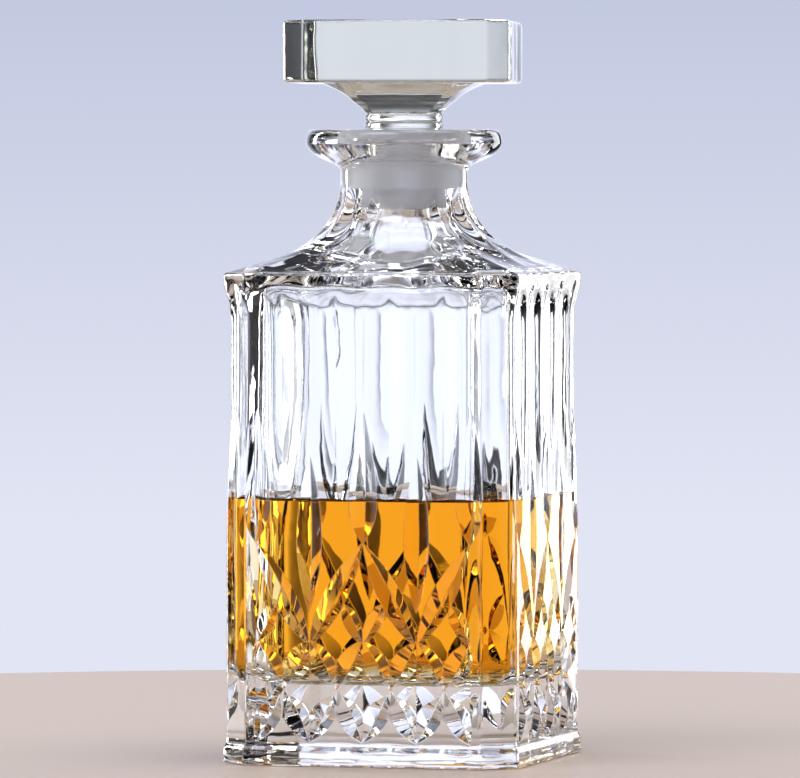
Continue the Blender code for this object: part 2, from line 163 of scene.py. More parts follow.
pane = add(tree, "ShaderNodeMapRange", {"Value": facing.outputs["Value"], "From Min": WINDOW_EDGES[0],
                                        "From Max": WINDOW_EDGES[1], "To Min": ROOM_STRENGTH,
                                        "To Max": WINDOW_STRENGTH})
studio = add(tree, "ShaderNodeBackground", {"Color": colour.outputs[2], "Strength": pane.outputs[0]})
rise = add(tree, "ShaderNodeMapRange", {"Value": axes.outputs["Z"], "From Min": SWEEP_HEIGHTS[0],
                                        "From Max": SWEEP_HEIGHTS[1]})
sweep = add(tree, "ShaderNodeMix", {0: rise.outputs[0], 6: BACKDROP_LOW, 7: BACKDROP_HIGH},
            data_type="RGBA")
backdrop = add(tree, "ShaderNodeBackground", {"Color": sweep.outputs[2], "Strength": 1.0})
ray = add(tree, "ShaderNodeLightPath")
seen = add(tree, "ShaderNodeMixShader", {0: ray.outputs["Is Camera Ray"], 1: studio.outputs[0],
                                         2: backdrop.outputs[0]})
add(tree, "ShaderNodeOutputWorld", {"Surface": seen.outputs[0]})
bpy.context.scene.world = room
bpy.context.scene.view_settings.view_transform = "Standard"


def soft_box(name, bearing_degrees, distance, height, size, power):
    """A soft panel of light that looks at the object and isn't itself in view."""
    data = bpy.data.lights.new(name, "AREA")
    data.shape = "RECTANGLE"
    data.size, data.size_y = size
    data.energy = power
    box = bpy.data.objects.new(name, data)
    turn = CAMERA_TURN + math.radians(bearing_degrees)
    box.location = (math.sin(turn) * distance, -math.cos(turn) * distance, height)
    aim = Vector((0.0, 0.0, 0.12)) - box.location
    box.rotation_euler = aim.to_track_quat("-Z", "Y").to_euler()
    box.visible_camera = False
    bpy.context.scene.collection.objects.link(box)


# Bearings are counted from the camera, to its right.
soft_box("right_strip", 142, 0.9, 0.25, (0.30, 0.8), 2.6)
soft_box("left_strip", -128, 0.9, 0.25, (0.12, 0.8), 4.0)
soft_box("overhead_panel", 60, 0.25, 1.3, (0.6, 0.6), 8.0)

# ---------------------------------------------------------------------------------------------
# Bottle: clear pressed glass, one piece, fire polished so that every edge is a little soft. Its
# lower half is cut in leaves and diamonds, its upper half and shoulder are fluted.
# ---------------------------------------------------------------------------------------------
MM = 0.001
body_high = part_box("decanter_body")[1]
FOOT_STEP = 1.0 * MM
half_side = body_high[0] - FOOT_STEP
corner_leg = 9.0 * MM
half_flat = half_side - corner_leg
pitch = (half_flat - 3.3 * MM) / 2
rim_height = body_high[2]
neck_height = rim_height - 15.0 * MM
neck_radius = 19.8 * MM
edge_height = neck_height - 29.0 * MM
CORNER_SOFTNESS = 260           # power of the blend between faces: about 2 mm of fillet
CAVITY_SOFTNESS = 70            # and about 6 mm inside


def smooth_step(value):
    value = min(max(value, 0.0), 1.0)
    return value * value * (3.0 - 2.0 * value)


def curve(points, steps):
    """Points of a cubic curve in (radius, height), without its first."""
    found = []
    for step in range(1, steps + 1):
        t = step / steps
        weights = ((1 - t) ** 3, 3 * t * (1 - t) ** 2, 3 * t * t * (1 - t), t ** 3)
        found.append(tuple(sum(w * p[axis] for w, p in zip(weights, points)) for axis in (0, 1)))
    return found


def largest(values, softness):
    """The largest of the values, blended where two are nearly equal."""
    top = max(values)
    return top * sum((value / top) ** softness for value in values) ** (1.0 / softness)


def square_reach(angle, half, leg, softness=CORNER_SOFTNESS):
    """From the axis to a square with chamfered and slightly rounded corners."""
    along, across = abs(math.cos(angle)), abs(math.sin(angle))
    return 1.0 / largest((along / half, across / half, (along + across) / (2 * half - leg)), softness)


def plan_angles(half, leg, spread, per_pitch):
    """Angles round the plan, closer together round each upright edge."""
    last = half - leg
    count = int(last / (spread / per_pitch))
    offsets = [spread / per_pitch * step for step in range(-count, count + 1)]
    face = [math.atan2(offset, half) for offset in offsets]
    edge = math.atan2(last, half)
    turn = [edge + math.radians(d) for d in (-1.6, -0.9, -0.45, 0.0, 0.45, 0.9, 1.6)]
    middle = [math.pi / 4 + math.radians(d) for d in (-3.0, -1.5)]
    half_quarter = [a for a in face if abs(a) < turn[0] - 0.008] + turn + middle
    mirrored = [math.pi / 2 - a for a in reversed(turn + middle)]
    quarter = half_quarter + [math.pi / 4] + mirrored
    found = sorted({round(a + side * math.pi / 2, 6) for side in range(4) for a in quarter})
    return [a for a in found if a < found[0] + 2 * math.pi - 1e-4]


def skin_over(name, rings, first, last):
    """Closed mesh over rings of points, closed by a fan to one point at each end."""
    mesh = bpy.data.meshes.new(name)
    skin = bmesh.new()
    rows = [[skin.verts.new(point) for point in ring] for ring in rings]
    for lower, upper in zip(rows, rows[1:]):
        for i in range(len(lower)):
            j = (i + 1) % len(lower)
            skin.faces.new((lower[i], lower[j], upper[j], upper[i]))
    for row, tip_point in ((rows[0], first), (rows[-1], last)):
        tip = skin.verts.new(tip_point)
        for i in range(len(row)):
            skin.faces.new((row[i], row[(i + 1) % len(row)], tip))
    bmesh.ops.recalc_face_normals(skin, faces=skin.faces)
    skin.to_mesh(mesh)
    skin.free()
    return mesh


FLUTE_DEPTH = 1.4 * MM
FLUTE_WANDER = 0.9 * MM         # how far a flute strays from a straight line
WANDER_ACROSS = 24 * MM
WANDER_ALONG = 34 * MM
FLUTE_TOP = edge_height - 3.0 * MM
FLUTE_ARCH = 12.0 * MM
FLUTE_FADE = (edge_height - 34 * MM, edge_height - 80 * MM)
CHAMFER_FLUTE_SHARE = 0.7       # depth of the flute on each corner, against those on the faces
SHOULDER_FLUTES = 12
SHOULDER_FLUTE_DEPTH = 1.0 * MM
WAVE_SIZE = 10 * MM             # waves that the mould and the fire leave on the glass
WAVE_HEIGHT = 0.16 * MM

angles = plan_angles(half_side, corner_leg, pitch, 12)


def flute_at(scoop, z):
    """Depth of an upright flute at a height, where its hollow across is scoop, from 0 to 1."""
    arch = max(0.0, (z - FLUTE_TOP + FLUTE_ARCH) / FLUTE_ARCH)
    top, bottom = FLUTE_FADE
    fade = smooth_step((z - bottom) / (top - bottom))
    return FLUTE_DEPTH * max(0.0, scoop * fade - arch * arch)


def flute_depth(lateral, z):
    """Depth of the upright flutes at a place on a face."""
    nearest = round(lateral / pitch)
    if abs(nearest) > 2:
        return 0.0
    across = 2 * (lateral - nearest * pitch) / pitch
    return flute_at(1 - across * across, z)


def wave_at(x, y, z, stretch=3.5):
    """A slow unevenness, longer up the bottle than round it."""
    place = Vector((x / WAVE_SIZE, y / WAVE_SIZE, z / (WAVE_SIZE * stretch)))
    return noise.noise(place) * WAVE_HEIGHT


def body_ring(radius, z, roundness=0.0, leg=corner_leg, fluted=False, rays=0.0, wavy=1.0):
    softness = CORNER_SOFTNESS if leg == corner_leg else CAVITY_SOFTNESS
    ring = []
    for angle in angles:
        square = square_reach(angle, radius, leg * radius / half_side, softness)
        reach = (1 - roundness) * square + roundness * radius
        if fluted:
            quarter = (angle + math.pi / 4) % (math.pi / 2) - math.pi / 4
            lateral = radius * math.tan(quarter)
            face = 3 + round(2 * (angle - quarter) / math.pi)
            place = Vector((lateral / WANDER_ACROSS, z / WANDER_ALONG, face))
            lateral += FLUTE_WANDER * noise.noise(place)
            reach -= flute_depth(lateral, z) / math.cos(quarter)
            off_corner = (math.pi / 4 - abs(quarter)) * radius * 1.35
            chamfer_half = corner_leg * 0.62
            if off_corner < chamfer_half:
                reach -= CHAMFER_FLUTE_SHARE * flute_at(1 - (off_corner / chamfer_half) ** 2, z)
        reach -= rays * abs(math.cos(SHOULDER_FLUTES * angle / 2)) ** 1.5
        x, y = reach * math.cos(angle), reach * math.sin(angle)
        reach += wave_at(x, y, z) * wavy
        ring.append((reach * math.cos(angle), reach * math.sin(angle), z))
    return ring


def steps_between(low, high, count):
    return [low + (high - low) * step / count for step in range(1, count + 1)]


foot = half_side + FOOT_STEP
foot_height = 7.0 * MM
recess_depth = 0.9 * MM
standing_ring = 7.0 * MM
soft = 1.4 * MM

outside = [body_ring(foot - standing_ring - r, recess_depth, wavy=0) for r in (2 * soft, soft)]
outside.append(body_ring(foot - standing_ring, 0.0, wavy=0))
outside.append(body_ring(foot - soft, 0.0, wavy=0))
for point in curve(((foot - soft, 0.0), (foot - soft / 3, 0.0), (foot, soft / 3), (foot, soft)), 4):
    outside.append(body_ring(*point, wavy=0))
for z in steps_between(soft, foot_height - 2 * soft, 3):
    outside.append(body_ring(foot - WAVE_HEIGHT, z, wavy=1.5))
for point in curve(((foot - WAVE_HEIGHT, foot_height - 2 * soft), (foot, foot_height - soft),
                    (half_side, foot_height - soft), (half_side, foot_height)), 5):
    outside.append(body_ring(*point, wavy=0))
pattern_top = FLUTE_FADE[1]
for z in steps_between(foot_height, pattern_top, 24):
    outside.append(body_ring(half_side, z, wavy=0))
flare = 0.8 * MM
flare_foot = edge_height - 16 * MM
wall_top = edge_height - 1.6 * MM
for z in steps_between(pattern_top, wall_top, 64):
    lean = flare * smooth_step((z - flare_foot) / (wall_top - flare_foot))
    outside.append(body_ring(half_side + lean, z, fluted=True, wavy=smooth_step((z - pattern_top) / 0.03)))
edge_side = half_side + flare
turn_in = 1.6 * MM
for point in curve(((edge_side, wall_top), (edge_side, edge_height - turn_in / 3),
                    (edge_side - turn_in / 3, edge_height), (edge_side - turn_in, edge_height)), 5):
    outside.append(body_ring(*point))
start = (edge_side - turn_in, edge_height)
reach_in = start[0] - neck_radius
rise = neck_height - edge_height
for radius, z in curve((start, (start[0] - 0.52 * reach_in, edge_height + 0.22 * rise),
                        (neck_radius, edge_height + 0.44 * rise), (neck_radius, neck_height)), 60):
    gone = (start[0] - radius) / reach_in
    climbed = (z - edge_height) / rise
    rays = SHOULDER_FLUTE_DEPTH * smooth_step(gone * 3.5) * smooth_step((1.0 - climbed) * 3.0)
    outside.append(body_ring(radius, z, roundness=smooth_step(gone * 1.25), rays=rays))
neck_top = (neck_radius, neck_height + 2 * MM)
outside.append(body_ring(*neck_top, roundness=1.0))
lip_radius = 30.6 * MM
lip_rise = rim_height - neck_top[1]
lip_edge = (lip_radius, rim_height - 4.4 * MM)
for point in curve((neck_top, (neck_radius, neck_top[1] + 0.26 * lip_rise),
                    (lip_radius - 2 * MM, neck_top[1] + 0.24 * lip_rise), lip_edge), 20):
    outside.append(body_ring(*point, roundness=1.0))
for point in curve((lip_edge, (lip_radius, rim_height - 1.8 * MM),
                    (lip_radius - 0.8 * MM, rim_height), (lip_radius - 2 * MM, rim_height)), 10):
    outside.append(body_ring(*point, roundness=1.0, wavy=0.4))

sleeve_low, sleeve_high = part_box("seal_sleeve")
seal_gap = 0.3 * MM
sleeve_top_radius = 13.0 * MM
sleeve_tip_radius = 11.4 * MM
sleeve_wall = 1.4 * MM
flange_thickness = 3.4 * MM
rib_height = 0.35 * MM
seat_height = sleeve_high[2] - flange_thickness - seal_gap
seat_radius = sleeve_high[0] + 0.6 * MM
bore_top = sleeve_top_radius + rib_height + seal_gap
bore_taper = 1.6 / 22.9         # loss of radius over the sleeve's length below its flange
bore_beyond = 3.4 * MM          # bore that goes on below the sleeve
bore_foot = (bore_top - bore_taper * (seat_height - sleeve_low[2] + bore_beyond), sleeve_low[2] - bore_beyond)
mouth_radius = 23.6 * MM
rim_inset = 1.5 * MM
inside = [body_ring(mouth_radius + rim_inset, rim_height, roundness=1.0, wavy=0.4)]
for point in curve(((mouth_radius + rim_inset, rim_height), (mouth_radius - rim_inset, rim_height),
                    (seat_radius + 2 * rim_inset, seat_height), (seat_radius, seat_height)), 16):
    inside.append(body_ring(*point, roundness=1.0, wavy=0.2))
inside.append(body_ring(bore_top + 0.3 * MM, seat_height, roundness=1.0, wavy=0))
for share in (0.0, 0.03, 0.5, 1.0):
    radius = bore_top + (bore_foot[0] - bore_top) * share
    z = seat_height - 0.3 * MM + (bore_foot[1] - seat_height + 0.3 * MM) * share
    inside.append(body_ring(radius, z, roundness=1.0, wavy=0))
wall = 5.5 * MM
inner_side = half_side - wall
inner_edge = edge_height - 3.5 * MM
top_round = 3.0 * MM
inner_leg = 10.0 * MM
vault_rise = bore_foot[1] - inner_edge
vault_reach = inner_side - bore_foot[0]
for radius, z in curve((bore_foot, (bore_foot[0], inner_edge + 0.45 * vault_rise),
                        (inner_side - 0.45 * vault_reach, inner_edge + 0.2 * vault_rise),
                        (inner_side - top_round, inner_edge)), 36):
    out_share = (radius - bore_foot[0]) / vault_reach
    inside.append(body_ring(radius, z, roundness=1 - smooth_step(out_share), leg=inner_leg, wavy=1.5))
floor_height = 24.8 * MM
floor_round = 7.0 * MM
for point in curve(((inner_side - top_round, inner_edge), (inner_side - top_round / 3, inner_edge),
                    (inner_side, inner_edge - top_round / 3), (inner_side, inner_edge - top_round)), 8):
    inside.append(body_ring(*point, leg=inner_leg, wavy=1.5))
fill_height = 81.4 * MM
creep = 1.1 * MM


def shore(angle):
    """How high the drink's edge climbs the wall, a little more in some places than in others."""
    place = Vector((3 * math.cos(angle), 3 * math.sin(angle), 0.7))
    return creep * (1 + 0.8 * noise.noise(place * 2.2))


for z in steps_between(inner_edge - top_round, fill_height + 2.5 * creep, 32):
    inside.append(body_ring(inner_side, z, leg=inner_leg, wavy=1.5))
inside.append([(x, y, fill_height + shore(math.atan2(y, x)))
               for x, y, z in body_ring(inner_side, fill_height, leg=inner_leg, wavy=1.5)])
for z in steps_between(fill_height, floor_height + floor_round, 30):
    inside.append(body_ring(inner_side, z, leg=inner_leg, wavy=1.5))
floor_curve = curve(((inner_side, floor_height + floor_round),
                     (inner_side, floor_height + 0.4 * floor_round),
                     (inner_side - 0.6 * floor_round, floor_height),
                     (inner_side - floor_round, floor_height)), 14)
for point in floor_curve:
    inside.append(body_ring(*point, leg=inner_leg, wavy=1.0))
for radius in steps_between(inner_side - floor_round, 2 * MM, 12):
    inside.append(body_ring(radius, floor_height, leg=inner_leg, wavy=0))

bottle_mesh = skin_over("bottle", outside + inside, (0, 0, recess_depth), (0, 0, floor_height))
bottle = bpy.data.objects.new("cut_glass_bottle", bottle_mesh)
bpy.context.scene.collection.objects.link(bottle)

# The cuts: a leaf is what a wheel with a V edge leaves, deepest near its middle.
LEAF_STEPS = 18
ABOVE = 1.6 * MM                # how far a cutter stands out of the face


def leaf_sections(start, end, width, depth, fullest=0.5):
    """Triangular sections of one leaf cutter, in (lateral, height, inward)."""
    start, end = Vector(start), Vector(end)
    line = end - start
    length = line.length
    side = Vector((-line.y, line.x)) / length
    over = 0.25
    sections = []
    for step in range(LEAF_STEPS + 1):
        t = -over * fullest + (1 + over) * step / LEAF_STEPS
        span = fullest if t < fullest else 1 - fullest
        share = 1 - ((t - fullest) / span) ** 2
        share = max(share, -0.55 * ABOVE / depth)
        middle = start + line * t
        half_width = width / 2 * (share * depth + ABOVE) / depth
        sections.append((
            (middle.x, middle.y, share * depth),
            (middle.x + side.x * half_width, middle.y + side.y * half_width, -ABOVE),
            (middle.x - side.x * half_width, middle.y - side.y * half_width, -ABOVE),
        ))
    return sections


def on_face(point, side):
    """A place in (lateral, height, inward) on one of the four faces, in the bottle's frame."""
    lateral, height, inward = point
    angle = side * math.pi / 2
    x, y = lateral, -(half_side - inward)
    return (x * math.cos(angle) - y * math.sin(angle), x * math.sin(angle) + y * math.cos(angle), height)


def cut(target, name, solids):
    """Takes one set of solids, none touching another, out of the target on all four faces."""
    mesh = bpy.data.meshes.new(name)
    made = bmesh.new()
    for side in range(4):
        for sections in solids:
            rows = [[made.verts.new(on_face(p, side)) for p in section] for section in sections]
            for first, second in zip(rows, rows[1:]):
                for i in range(len(first)):
                    j = (i + 1) % len(first)
                    made.faces.new((first[i], first[j], second[j], second[i]))
            made.faces.new(rows[0])
            made.faces.new(rows[-1])
    bmesh.ops.recalc_face_normals(made, faces=made.faces)
    made.to_mesh(mesh)
    made.free()
    cutter = bpy.data.objects.new(name, mesh)
    bpy.context.scene.collection.objects.link(cutter)
    modifier = target.modifiers.new(name, "BOOLEAN")
    modifier.operation = "DIFFERENCE"
    modifier.solver = "MANIFOLD"
    modifier.object = cutter
    return cutter


ROW_TOP = 68.2 * MM             # where long leaves start from the middle and the sides
ROW_UPPER = 38.2 * MM
ROW_MIDDLE = 23.9 * MM
ROW_LOWER = 7.6 * MM

upright = []
for k in (-2, 0, 2):
    upright.append(leaf_sections((k * pitch, 68.6 * MM), (k * pitch, 119 * MM), 9.4 * MM, 3.1 * MM, 0.25))
for k in (-1, 1):
    upright.append(leaf_sections((k * pitch, 47.6 * MM), (k * pitch, 100.5 * MM), 8.0 * MM, 2.8 * MM, 0.42))

falling = []                    # long leaves that run down to the right, and down to the left
rising = []
for k in (-2, 0):
    falling.append(leaf_sections((k * pitch, ROW_TOP + MM), ((k + 1) * pitch, ROW_UPPER - MM),
                                 7.4 * MM, 2.9 * MM, 0.55))
for k in (2, 0):
    rising.append(leaf_sections((k * pitch, ROW_TOP + MM), ((k - 1) * pitch, ROW_UPPER - MM),
                                7.4 * MM, 2.9 * MM, 0.55))

buds = {-1: [], 1: []}
for k, lean in ((0, -1), (0, 1), (-2, 1), (2, -1)):
    buds[lean].append(leaf_sections((k * pitch, ROW_UPPER - MM / 2),
                                    ((k + lean * 0.37) * pitch, 50.5 * MM), 5.2 * MM, 1.8 * MM, 0.6))

lattice = {name: [] for name in ("upper_fall", "upper_rise", "lower_fall", "lower_rise")}
for k in range(-2, 2):
    lattice["upper_fall"].append(leaf_sections(
        (k * pitch, ROW_UPPER + MM), ((k + 0.5) * pitch, ROW_MIDDLE - MM), 8.4 * MM, 2.8 * MM))
    lattice["upper_rise"].append(leaf_sections(
        ((k + 1) * pitch, ROW_UPPER + MM), ((k + 0.5) * pitch, ROW_MIDDLE - MM), 8.4 * MM, 2.8 * MM))
    lattice["lower_fall"].append(leaf_sections(
        ((k + 0.5) * pitch, ROW_MIDDLE + MM), ((k + 1) * pitch, ROW_LOWER), 8.0 * MM, 2.8 * MM))
    lattice["lower_rise"].append(leaf_sections(
        ((k + 0.5) * pitch, ROW_MIDDLE + MM), (k * pitch, ROW_LOWER), 8.0 * MM, 2.8 * MM))

# Roofs: each big diamond falls away to both sides from an upright ridge.
ROOF_DEPTH = 1.8 * MM


def roof_half(k, lean):
    """Solid over one half of a big diamond: its floor falls from the ridge to the side corner."""
    ridge_top = (k * pitch, ROW_UPPER)
    ridge_foot = (k * pitch, ROW_LOWER)
    corner = ((k + 0.5 * lean) * pitch, ROW_MIDDLE)
    floor = (ridge_top + (0.0,), corner + (ROOF_DEPTH,), ridge_foot + (0.0,))
    roof = tuple(p[:2] + (-ABOVE,) for p in floor)
    return (floor, roof)


roofs = {lean: [roof_half(k, lean) for k in range(-2, 3) if abs(k + 0.5 * lean) < 2] for lean in (-1, 1)}

# Tents: below each middle node a ridge climbs to the face, and a flat triangle is left under it.
TENT_DROP = 9.0 * MM


def tent_half(k, lean):
    """Solid over one side of the ridge under the middle node at k."""
    node = (k * pitch, ROW_MIDDLE)
    ridge_foot = (k * pitch, ROW_MIDDLE - TENT_DROP)
    hip = ((k + 0.36 * lean) * pitch, ROW_MIDDLE - 1.15 * TENT_DROP)
    floor = (node + (ROOF_DEPTH,), ridge_foot + (0.0,), hip + (0.6 * ROOF_DEPTH,))
    if lean < 0:
        floor = (floor[0], floor[2], floor[1])
    return (floor, tuple(p[:2] + (-ABOVE,) for p in floor))


tents = {lean: [tent_half(k + 0.5, lean) for k in range(-2, 2)] for lean in (-1, 1)}

cutters = [
    cut(bottle, "upright_leaves", upright),
    cut(bottle, "falling_leaves", falling),
    cut(bottle, "rising_leaves", rising),
    cut(bottle, "left_buds", buds[-1]),
    cut(bottle, "right_buds", buds[1]),
]
cutters += [cut(bottle, name, solids) for name, solids in lattice.items()]
cutters += [cut(bottle, "left_roofs", roofs[-1]), cut(bottle, "right_roofs", roofs[1])]
cutters += [cut(bottle, "left_tents", tents[-1]), cut(bottle, "right_tents", tents[1])]

graph = bpy.context.evaluated_depsgraph_get()
cut_mesh = bpy.data.meshes.new_from_object(bottle.evaluated_get(graph))
bottle.modifiers.clear()
bottle.data = cut_mesh
for cutter in cutters:
    bpy.data.objects.remove(cutter, do_unlink=True)
cut_mesh.shade_smooth()
cut_mesh.set_sharp_from_angle(angle=math.radians(13))

# Soda-lime glass, pressed and fire polished: clear, a trace of green, and no edge quite sharp.
SPIRIT_IOR = 1.36
GLASS_IOR = 1.52
FIRE_POLISH = 0.5 * MM


def clear_glass(name, ior):
    """Polished glass with a faint ripple, every edge drawn a little round."""
    made, tree, out = blank(name)
    where = add(tree, "ShaderNodeTexCoord")
    ripple = add(tree, "ShaderNodeTexNoise", {"Vector": where.outputs["Object"], "Scale": 1 / (7 * MM),
                                              "Detail": 1.0})
    polish = add(tree, "ShaderNodeBevel", {"Radius": FIRE_POLISH}, samples=4)
    relief = add(tree, "ShaderNodeBump", {"Height": ripple.outputs[0], "Strength": 0.08, "Distance": MM,
                                          "Normal": polish.outputs[0]})
    shader = add(tree, "ShaderNodeBsdfPrincipled", {
        "Base Color": linear("fdfefd"), "Roughness": 0.0, "IOR": ior,
        "Transmission Weight": 1.0, "Normal": relief.outputs[0]})
    tree.links.new(shader.outputs[0], out.inputs["Surface"])
    return made


glass = clear_glass("pressed_soda_lime_glass", GLASS_IOR)
# Where the spirit wets the wall, light meets only the step from one to the other.
wet_glass = clear_glass("pressed_glass_under_spirit", GLASS_IOR / SPIRIT_IOR)
cut_mesh.materials.clear()
cut_mesh.materials.append(glass)
cut_mesh.materials.append(wet_glass)
for face in cut_mesh.polygons:
    x, y, z = face.center
    shore_line = fill_height + shore(math.atan2(y, x))
    if max(abs(x), abs(y)) < inner_side + MM and floor_height - MM < z < shore_line:
        face.material_index = 1
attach(bottle, "decanter")
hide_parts("decanter_body")

# ---------------------------------------------------------------------------------------------
# Spirit: the drink in the bottle, a little over two fifths full. The glass round it bends the light,
# so its own skin bends none and only its depth gives colour. Its top is a sheet of its own.
# ---------------------------------------------------------------------------------------------
wet = 0.1 * MM
drink_rings = []
for radius in steps_between(2 * MM, inner_side + wet - floor_round, 10):
    drink_rings.append(body_ring(radius, floor_height - wet, leg=inner_leg, wavy=0))
for radius, z in reversed(floor_curve[:-1]):
    drink_rings.append(body_ring(radius + wet, z - wet, leg=inner_leg, wavy=1.0))
for z in steps_between(floor_height + floor_round, fill_height, 30):
    drink_rings.append(body_ring(inner_side + wet, z, leg=inner_leg, wavy=1.5))
top_rings = []
for inset in (-wet / MM, 0.1, 0.35, 0.8, 1.4, 2.2, 3.2, 4.5, 6.0):
    ring = body_ring(inner_side - inset * MM, fill_height, leg=inner_leg, wavy=1.0)
    top_rings.append([(x, y, z + shore(math.atan2(y, x)) * math.exp(-max(inset, 0.0) / 0.7))
                      for x, y, z in ring])
for radius in steps_between(inner_side - 6 * MM, 2 * MM, 14):
    top_rings.append(body_ring(radius, fill_height, leg=inner_leg, wavy=0))
under = 0.03 * MM
drink_rings += [[(x, y, z - under) for x, y, z in ring] for ring in top_rings]
drink_mesh = skin_over("spirit", drink_rings, (0, 0, floor_height - wet), (0, 0, fill_height - under))
drink_mesh.shade_smooth()
drink = bpy.data.objects.new("amber_spirit", drink_mesh)
bpy.context.scene.collection.objects.link(drink)
amber, tree, out = blank("oak_aged_spirit")
shader = add(tree, "ShaderNodeBsdfPrincipled", {
    "Base Color": linear("ffffff"), "Roughness": 0.0, "IOR": 1.0, "Transmission Weight": 1.0})
depth_colour = add(tree, "ShaderNodeVolumeAbsorption", {"Color": linear("fee327"), "Density": 54.0})
tree.links.new(shader.outputs[0], out.inputs["Surface"])
tree.links.new(depth_colour.outputs[0], out.inputs["Volume"])
drink_mesh.materials.append(amber)
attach(drink, "decanter")

sheet_mesh = bpy.data.meshes.new("spirit_top")
sheet = bmesh.new()
rows = [[sheet.verts.new(point) for point in ring] for ring in top_rings]
for outer, inner in zip(rows, rows[1:]):
    for i in range(len(outer)):
        j = (i + 1) % len(outer)
        sheet.faces.new((outer[i], outer[j], inner[j], inner[i]))
sheet.faces.new(rows[-1])
sheet.to_mesh(sheet_mesh)
sheet.free()
sheet_mesh.shade_smooth()
drink_top = bpy.data.objects.new("spirit_surface", sheet_mesh)
bpy.context.scene.collection.objects.link(drink_top)
still, tree, out = blank("still_surface_of_spirit")
shader = add(tree, "ShaderNodeBsdfPrincipled", {
    "Base Color": linear("ffffff"), "Roughness": 0.0, "IOR": SPIRIT_IOR, "Transmission Weight": 1.0})
tree.links.new(shader.outputs[0], out.inputs["Surface"])
sheet_mesh.materials.append(still)
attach(drink_top, "decanter")

# ---------------------------------------------------------------------------------------------
# Stopper: one solid pressing of the same glass. A square head with its corners taken off sits on
# an eight-sided flare, a round collar and a tapered shank, which the seal sleeve grips.
# ---------------------------------------------------------------------------------------------
stopper_low, stopper_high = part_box("stopper")
STOPPER_TURN = math.radians(11.0)
head_half = 35.0 * MM
head_leg = 6.5 * MM
head_top = stopper_high[2]
head_bottom = head_top - 19.4 * MM
collar_bottom = sleeve_high[2] + seal_gap
collar_top = collar_bottom + 4.6 * MM
collar_radius = 12.2 * MM
stopper_angles = plan_angles(head_half, head_leg, head_half / 2, 8)


def stopper_ring(radius, z, roundness=1.0):
    ring = []
    for angle in stopper_angles:
        square = square_reach(angle, radius, head_leg * radius / head_half)
        reach = (1 - roundness) * square + roundness * radius
        uneven = wave_at(reach * math.cos(angle), reach * math.sin(angle), z, stretch=6.0)
        reach += 2.5 * uneven * smooth_step((radius - collar_radius) / (head_half - collar_radius))
        turned_angle = angle + STOPPER_TURN
        ring.append((reach * math.cos(turned_angle), reach * math.sin(turned_angle), z))
    return ring


shank_top = sleeve_top_radius - sleeve_wall - seal_gap
shank_tip = sleeve_tip_radius - sleeve_wall - seal_gap
tip_height = stopper_low[2]
stopper_rings = [stopper_ring(*p) for p in [(1 * MM, tip_height), (shank_tip - 1.6 * MM, tip_height)]]
for point in curve(((shank_tip - 1.6 * MM, tip_height), (shank_tip - 0.4 * MM, tip_height),
                    (shank_tip, tip_height + 0.5 * MM), (shank_tip, tip_height + 1.6 * MM)), 5):
    stopper_rings.append(stopper_ring(*point))
for share in (0.5, 0.97, 1.0):
    stopper_rings.append(stopper_ring(shank_tip + (shank_top - shank_tip) * share,
                                      tip_height + (collar_bottom - tip_height) * share))
bead = 0.9 * MM
groove = (collar_bottom + collar_top) / 2
for low_z, high_z in ((collar_bottom, groove), (groove, collar_top)):
    stopper_rings.append(stopper_ring(collar_radius - bead, low_z))
    for point in curve(((collar_radius - bead, low_z), (collar_radius - bead / 3, low_z),
                        (collar_radius, low_z + bead / 3), (collar_radius, low_z + bead)), 4):
        stopper_rings.append(stopper_ring(*point))
    for point in curve(((collar_radius, high_z - bead), (collar_radius, high_z - bead / 3),
                        (collar_radius - bead / 3, high_z), (collar_radius - bead / 2, high_z)), 4):
        stopper_rings.append(stopper_ring(*point))
arris = (collar_radius + 3.7 * MM, collar_top + 4.0 * MM)
for point in curve(((collar_radius - bead / 2, collar_top), (collar_radius, collar_top + 1.3 * MM),
                    (arris[0] - 1.8 * MM, arris[1] - 1.3 * MM), arris), 8):
    stopper_rings.append(stopper_ring(*point, roundness=0.3))
root = (collar_radius + 13.3 * MM, head_bottom)
for point in curve((arris, (arris[0] + (root[0] - arris[0]) / 4, arris[1] + (root[1] - arris[1]) / 2),
                    (root[0] - (root[0] - arris[0]) / 3, root[1] - (root[1] - arris[1]) / 4), root), 10):
    stopper_rings.append(stopper_ring(*point, roundness=0.3))
head_round = 1.5 * MM
lower_edge = curve(((head_half - head_round, head_bottom), (head_half - head_round / 2, head_bottom),
                    (head_half, head_bottom + head_round / 2), (head_half, head_bottom + head_round)), 6)
lower_edge = [(head_half - head_round, head_bottom)] + lower_edge
upper_edge = [(radius, head_top - (z - head_bottom)) for radius, z in reversed(lower_edge)]
sides = [(head_half, z) for z in steps_between(lower_edge[-1][1], upper_edge[0][1], 8)[:-1]]
for point in lower_edge + sides + upper_edge:
    stopper_rings.append(stopper_ring(*point, roundness=0.0))
for radius in steps_between(head_half - head_round, 3 * MM, 6):
    stopper_rings.append(stopper_ring(radius, head_top, roundness=0.0))
plug_mesh = skin_over("stopper", stopper_rings, (0, 0, tip_height), (0, 0, head_top))
plug_mesh.shade_smooth()
plug_mesh.set_sharp_from_angle(angle=math.radians(24))
plug = bpy.data.objects.new("glass_stopper", plug_mesh)
bpy.context.scene.collection.objects.link(plug)
# The same glass, but solid and cast thick, so its grey-green shows.
cast_glass = clear_glass("cast_soda_lime_glass", GLASS_IOR)
tree = cast_glass.node_tree
depth_tint = add(tree, "ShaderNodeVolumeAbsorption", {"Color": linear("aaad90"), "Density": 11.0})
tree.links.new(depth_tint.outputs[0], tree.nodes["Material Output"].inputs["Volume"])
plug_mesh.materials.append(cast_glass)
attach(plug, "stopper")
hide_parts("stopper")

